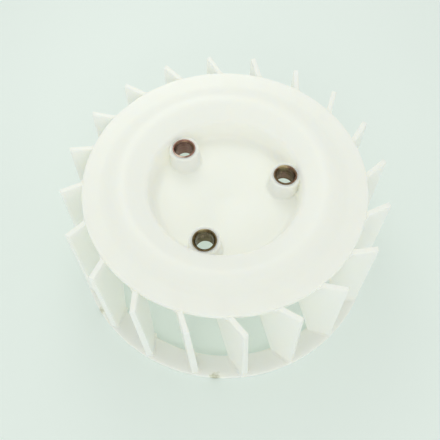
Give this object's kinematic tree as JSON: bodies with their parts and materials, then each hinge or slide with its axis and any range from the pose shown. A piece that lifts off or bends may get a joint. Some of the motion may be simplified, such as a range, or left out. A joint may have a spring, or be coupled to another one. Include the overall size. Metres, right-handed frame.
{
  "type": "scooter cooling fan wheel",
  "caption": "Moulded centrifugal cooling fan wheel with swept straight blades, an open foot ring and a dished hub on metal bushes.",
  "frame": {"origin": "centre of the underside of the foot ring, on the wheel's axis", "axes": "+Z along the wheel's axis from the inlet towards the flywheel side, +X through one bush"},
  "size_m": [0.1204, 0.1204, 0.047],
  "materials": {
    "nylon": "satin natural white nylon, slightly translucent",
    "bush_metal": "turned, yellow passivated"
  },
  "bodies": {
    "root": {"fan_wheel": "nylon", "mounting_bush_1": "bush_metal", "mounting_bush_2": "bush_metal", "mounting_bush_3": "bush_metal"}
  },
  "joints": []
}
